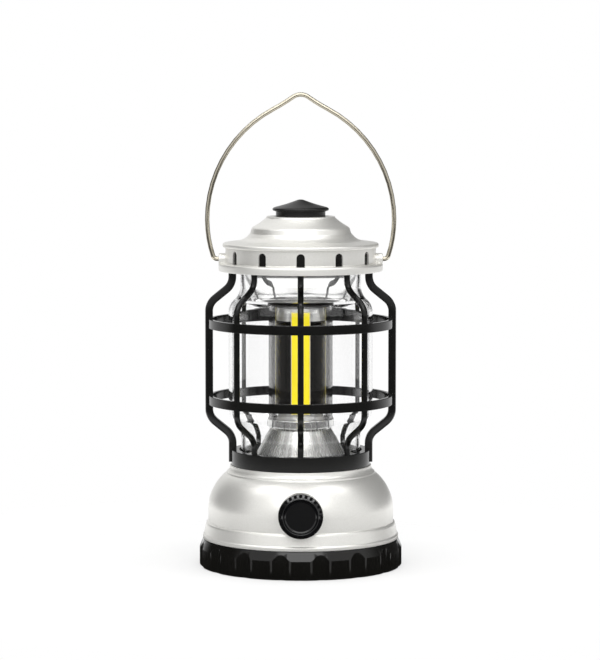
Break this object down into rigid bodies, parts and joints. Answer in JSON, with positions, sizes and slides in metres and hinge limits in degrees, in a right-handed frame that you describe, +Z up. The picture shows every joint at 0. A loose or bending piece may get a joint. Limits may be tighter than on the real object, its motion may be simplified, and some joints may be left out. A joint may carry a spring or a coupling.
{
  "type": "camping lantern",
  "caption": "Camping lantern with a clear globe in a black cage, a silver battery base with a dimmer knob, a vented cap and a swinging wire bail.",
  "frame": {"origin": "centre of the foot, on the surface that the lantern stands on", "axes": "+Z up along the lantern's axis, -Y to the front where the dimmer knob is, +X to the right seen from the front"},
  "size_m": [0.125, 0.1321, 0.2916],
  "materials": {
    "silver_paint": "satin silver paint on moulded plastic",
    "black_moulding": "semi-gloss moulded black plastic",
    "cage_black": "satin moulded black plastic",
    "bright_steel": "bright drawn steel wire and plated fasteners",
    "seal_rubber": "soft moulded rubber",
    "inner_plastic": "moulded inner plastic",
    "clear_globe": "clear and polished",
    "plated_mirror": "bright vacuum plating",
    "cell_jacket": null,
    "contact_metal": "tinned spring brass",
    "circuit_board": "green circuit board",
    "dark_post": "black anodised tube",
    "light_strip": "yellow light-emitting strip, unlit"
  },
  "bodies": {
    "lantern": {"housing_shell": "silver_paint", "vent_collar": "silver_paint", "dome_cap": "silver_paint", "finial": "black_moulding", "cage_front_half": "cage_black", "cage_rear_half": "cage_black", "finial_screw": "bright_steel", "cage_screws": "bright_steel", "carrier_screws": "bright_steel", "dimmer_nut": "bright_steel", "dimmer_washer": "bright_steel", "globe_lower_gasket": "seal_rubber", "globe_upper_gasket": "seal_rubber", "battery_carrier": "inner_plastic", "tube_cap": "inner_plastic", "top_plate": "inner_plastic", "globe": "clear_globe", "clear_tube": "clear_globe", "lower_reflector": "plated_mirror", "upper_reflector": "plated_mirror", "tube_base_ring": "plated_mirror", "post_foot": "plated_mirror", "post_head": "plated_mirror", "d_cells": "cell_jacket", "upper_contacts": "contact_metal", "driver_board": "circuit_board", "dimmer_pot": "circuit_board", "led_column": "dark_post", "led_strips": "light_strip"},
    "bail": {"bail_handle": "bright_steel"},
    "knob": {"control_knob": "black_moulding", "dimmer_shaft": "bright_steel"},
    "contact_carriage": {"contact_disc": "inner_plastic", "lower_contacts": "contact_metal", "cover_seal": "seal_rubber"},
    "cover": {"base_cover": "black_moulding"}
  },
  "joints": [
    {"name": "bail_swing", "type": "hinge", "parent": "lantern", "child": "bail", "pos_m": [0, 0, 0.1895], "axis": [1, 0, 0], "range_deg": [-130, 130]},
    {"name": "knob_turn", "type": "hinge", "parent": "lantern", "child": "knob", "pos_m": [0, -0.06, 0.0395], "axis": [0, 1, 0], "range_deg": [0, 300]},
    {"name": "cover_drop", "type": "slide", "parent": "lantern", "child": "contact_carriage", "axis": [0, 0, -1], "range_m": [0, 0.015]},
    {"name": "cover_twist", "type": "hinge", "parent": "contact_carriage", "child": "cover", "pos_m": [0, 0, 0], "axis": [0, 0, -1], "range_deg": [0, 900]}
  ],
  "couplings": [
    {"joint": "cover_drop", "follows": "cover_twist", "m_per_rad": 0.000954}
  ]
}
